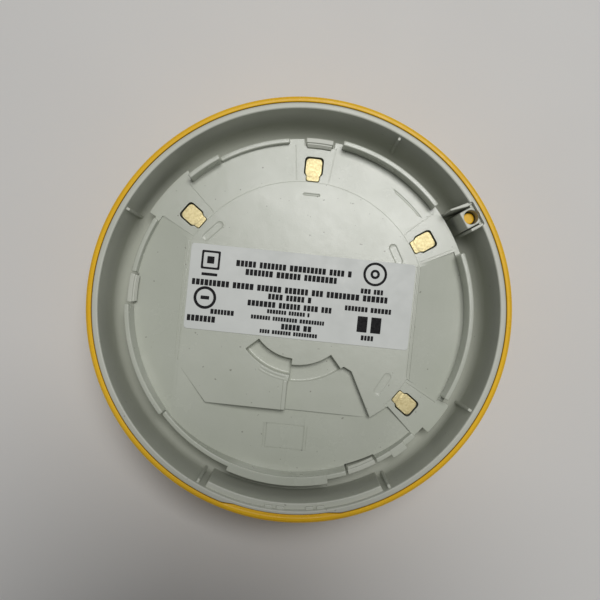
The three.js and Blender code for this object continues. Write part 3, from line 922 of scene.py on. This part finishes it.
PRINT_LOW_Z = LABEL_HIGH.z - 0.02
PRINT_HIGH_Z = LABEL_HIGH.z + 0.015


def add_print(bm, outline, holes=()):
    add_moulding(bm, outline, PRINT_LOW_Z, PRINT_HIGH_Z, 0.004, draft=0, holes=holes, steps=1)


def add_print_bar(bm, left, right, bottom, top):
    add_print(bm, soften(box_outline(left, right, bottom, top), 0.15, 2))


def add_print_ring(bm, centre, outer, inner):
    add_print(bm, circle(outer, centre, 8), [circle(inner, centre, 8)])


def add_print_shapes(bm):
    """Plain geometric shapes beside the lines: a framed square, two rings and some bars."""
    frame_outline = soften(box_outline(-28.2, -23.0, 8.6, 13.8), 0.4, 3)
    frame_hole = soften(box_outline(-27.6, -23.6, 9.2, 13.2), 0.3, 3)
    add_print(bm, frame_outline, [frame_hole])
    add_print_bar(bm, -27.8, -23.4, 6.8, 7.6)
    add_print_bar(bm, -26.6, -24.6, 10.2, 12.2)
    add_print_ring(bm, (-26.2, 0.7), 3.15, 2.35)
    add_print_bar(bm, -27.4, -25.0, 0.2, 1.2)
    add_print_ring(bm, (20.0, 11.8), 3.3, 2.6)
    add_print_ring(bm, (20.0, 11.8), 1.3, 0.6)
    add_print_bar(bm, 16.4, 19.2, -4.5, -0.1)
    add_print_bar(bm, 20.2, 23.0, -4.5, -0.1)


def add_words(bm, line, dice):
    """One line of print as plain word blocks made of short bars."""
    left, right, middle, height = line
    x = left
    letter = height * 0.62  # the width of a full letter
    gap = height * 0.13
    while x < right - letter:
        for _ in range(dice.randint(3, 9)):
            width = letter * dice.uniform(0.75, 1.0)
            if x + width > right:
                break
            block = box_outline(x, x + width, middle - height / 2, middle + height / 2)
            add_print(bm, soften(block, 0.12, 2))
            x += width + gap
        x += letter * 0.8


def label_print():
    dice = random.Random(7)

    def build(bm):
        for line in PRINT_LINES:
            add_words(bm, line, dice)
        add_print_shapes(bm)

    obj = new_object("rating_label_print", build)
    return finished(obj, DETECTOR_BODY, INK)


# ---- Dust cover ----

CAP_WALL = 1.1
LIP_INNER_R = SKIRT_R + 0.3
LIP_TOP_Z = CAP_HIGH.z
LIP_LOW_Z = LIP_TOP_Z - 2.4
TAB_CLEARANCE = 0.7  # degrees between the tab and each end of the skirt's flat
PIN_R = 1.5
PIN_LOW_Z = 24
PIN_TOP_Z = RIM_Z - 4.5


def dust_cover():
    """A cap with a stepped lip, a tab in the skirt's flat and a pin in the tool hole."""
    inner_arc = arc(8.6, 0, -64, 4, SHOULDER_CENTRE)
    outer_arc = arc(8.6 + CAP_WALL, -64, 0, 4, SHOULDER_CENTRE)
    profile = (
        [(0, 0), (28, 0), (29, 1), (30, 12.6)]
        + outer_arc
        + [(LIP_INNER_R + CAP_WALL, LIP_LOW_Z), (CAP_R, LIP_LOW_Z + 0.6), (CAP_R, LIP_TOP_Z - 0.5)]
        + [(CAP_R - 0.35, LIP_TOP_Z - 0.3), (CAP_R - 0.6, LIP_TOP_Z), (LIP_INNER_R, LIP_TOP_Z)]
        + inner_arc
        + [(28.8, 13.4), (27.8, 1), (0, 1)]
    )
    obj = new_object("dust_cover_cap", lambda bm: add_lathe(bm, soften(profile, 0.3)))
    start, end = FLAT
    span = (start + TAB_CLEARANCE, end - TAB_CLEARANCE)
    tab = flat_outline(FLAT_R + 0.3, LIP_INNER_R, LIP_INNER_R + 0.6, *span)
    join(obj, lambda bm: add_moulding(bm, tab, LIP_LOW_Z, LIP_TOP_Z - 0.05, edge=0.2))
    pin = circle(PIN_R, TOOL_HOLE_CENTRE)
    join(obj, lambda bm: add_moulding(bm, pin, PIN_LOW_Z, PIN_TOP_Z, edge=0.3, draft=0))
    return finished(obj, ROOT_BODY, AMBER, ["dust_cover"])


# ---- Inner parts keep their CAD shapes ----


def dress_inner_parts():
    """Gives each CAD node that still shows its material and slightly broken edges."""
    resin = inner_material("black_resin", (0.022, 0.022, 0.024), (0.012, 0.012, 0.013), 0.42)
    finishes = {
        "circuit_board": inner_material(
            "board_laminate", (0.03, 0.16, 0.06), (0.02, 0.11, 0.04), 0.35, scale=150
        ),
        "thermistor_bead": resin,
        "thermistor_support": COVER_PLASTIC,
        "indicator_led": inner_material("led_lens", (0.5, 0.02, 0.02), (0.4, 0.015, 0.015), 0.15),
        "light_guide": inner_material("clear_lens", (0.8, 0.84, 0.86), (0.7, 0.75, 0.78), 0.08),
        "electrolytic_capacitor": inner_material(
            "can_aluminium", (0.60, 0.60, 0.62), (0.52, 0.52, 0.54), 0.28, metallic=1.0
        ),
    }
    tinned = inner_material("tinned_wire", (0.66, 0.66, 0.64), (0.56, 0.56, 0.54), 0.25, 1.0)
    ceramic = inner_material("ceramic_body", (0.40, 0.28, 0.15), (0.34, 0.23, 0.12), 0.5)
    for name in ("thermistor_lead_1", "thermistor_lead_2"):
        finishes[name] = tinned
    for name in ("ceramic_capacitor_1", "ceramic_capacitor_2"):
        finishes[name] = ceramic
    for name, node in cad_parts.items():
        if node.hide_render:
            continue
        node.data.materials.clear()
        node.data.materials.append(finishes.get(name, resin))
        bevel = node.modifiers.new("edges", "BEVEL")
        bevel.width = 0.12 * MM
        bevel.segments = 2
        bevel.limit_method = "ANGLE"
        bevel.angle_limit = math.radians(40)


# ---- Stage ----

FLOOR_HALF = 3000
SENSOR_WIDTH = 36
CARD_CENTRE = (4, -94)
CARD_SIZE = (104, 180)
CARD_LOW_Z, CARD_HIGH_Z = 228, 230
VIEW_DISTANCE = 0.185  # metres from the rim to the lens
FOCAL = 1.175  # focal length as a share of the picture's width
SHIFT = (0.00183, 0.016)  # the camera's shift, as shares of the picture's width
LABEL_TURN = 5.8  # how far the label is turned clockwise in the view


def staged(obj, material):
    to_metres(obj.data)
    obj.data.materials.append(material)


def floor():
    look = Nodes("floor_paper")
    tone = look.remap(look.noise(6, 3), 0.3, 0.7, 0, 1)
    look.set(Base_Color=look.blend(tone, (0.80, 0.79, 0.78), (0.78, 0.77, 0.76)))
    look.set(Roughness=look.remap(look.noise(30), 0.3, 0.7, 0.6, 0.7))
    corners = box_outline(-FLOOR_HALF, FLOOR_HALF, -FLOOR_HALF, FLOOR_HALF)

    def build(bm):
        bm.faces.new([bm.verts.new((x, y, 0)) for x, y in corners])

    staged(new_object("floor", build), look.material)


def camera():
    data = bpy.data.cameras.new("camera")
    data.sensor_width = SENSOR_WIDTH
    data.lens = FOCAL * SENSOR_WIDTH
    data.shift_x, data.shift_y = SHIFT
    data.clip_start = 0.005
    obj = bpy.data.objects.new("camera", data)
    obj.location = (0, 0, RIM_Z * MM + VIEW_DISTANCE)
    obj.rotation_euler = (0, 0, math.radians(LABEL_TURN))
    bpy.context.scene.collection.objects.link(obj)
    bpy.context.scene.camera = obj


def shade_card():
    """A dark card above the near side, hidden from the camera, that holds some light off it."""
    look = Nodes("shade_card")
    tone = look.blend(look.noise(20), (0.02, 0.02, 0.02), (0.03, 0.03, 0.03))
    look.set(Base_Color=tone, Roughness=0.9)
    (x, y), (width, length) = CARD_CENTRE, CARD_SIZE
    outline = soften(box_outline(x - width / 2, x + width / 2, y - length / 2, y + length / 2), 8)
    obj = new_object("shade_card", lambda bm: add_block(bm, outline, CARD_LOW_Z, CARD_HIGH_Z))
    obj.visible_camera = False
    staged(obj, look.material)


def softbox():
    """A large soft light above, a little towards the far side."""
    data = bpy.data.lights.new("softbox", "AREA")
    data.shape = "RECTANGLE"
    data.size, data.size_y = 0.30, 0.26
    data.energy = 3.7
    data.color = (1, 0.995, 0.975)
    obj = bpy.data.objects.new("softbox", data)
    towards = Vector((0.08, 0.2, 0.9)).normalized()
    obj.location = towards * 0.85
    obj.rotation_mode = "QUATERNION"
    obj.rotation_quaternion = (-towards).to_track_quat("-Z", "Y")
    bpy.context.scene.collection.objects.link(obj)


def surroundings():
    """An even, faint, slightly cool light from all round."""
    world = bpy.data.worlds.new("studio")
    world.use_nodes = True
    background = world.node_tree.nodes["Background"]
    background.inputs["Color"].default_value = (0.97, 0.985, 1, 1)
    background.inputs["Strength"].default_value = 0.14
    bpy.context.scene.world = world


front_cover()
rear_chassis()
for i, angle in enumerate(CONTACT_ANGLES):
    contact_piece(i + 1, angle)
label_sheet()
label_print()
dust_cover()
dress_inner_parts()
floor()
camera()
shade_card()
softbox()
surroundings()
bpy.context.scene.view_settings.view_transform = "Standard"
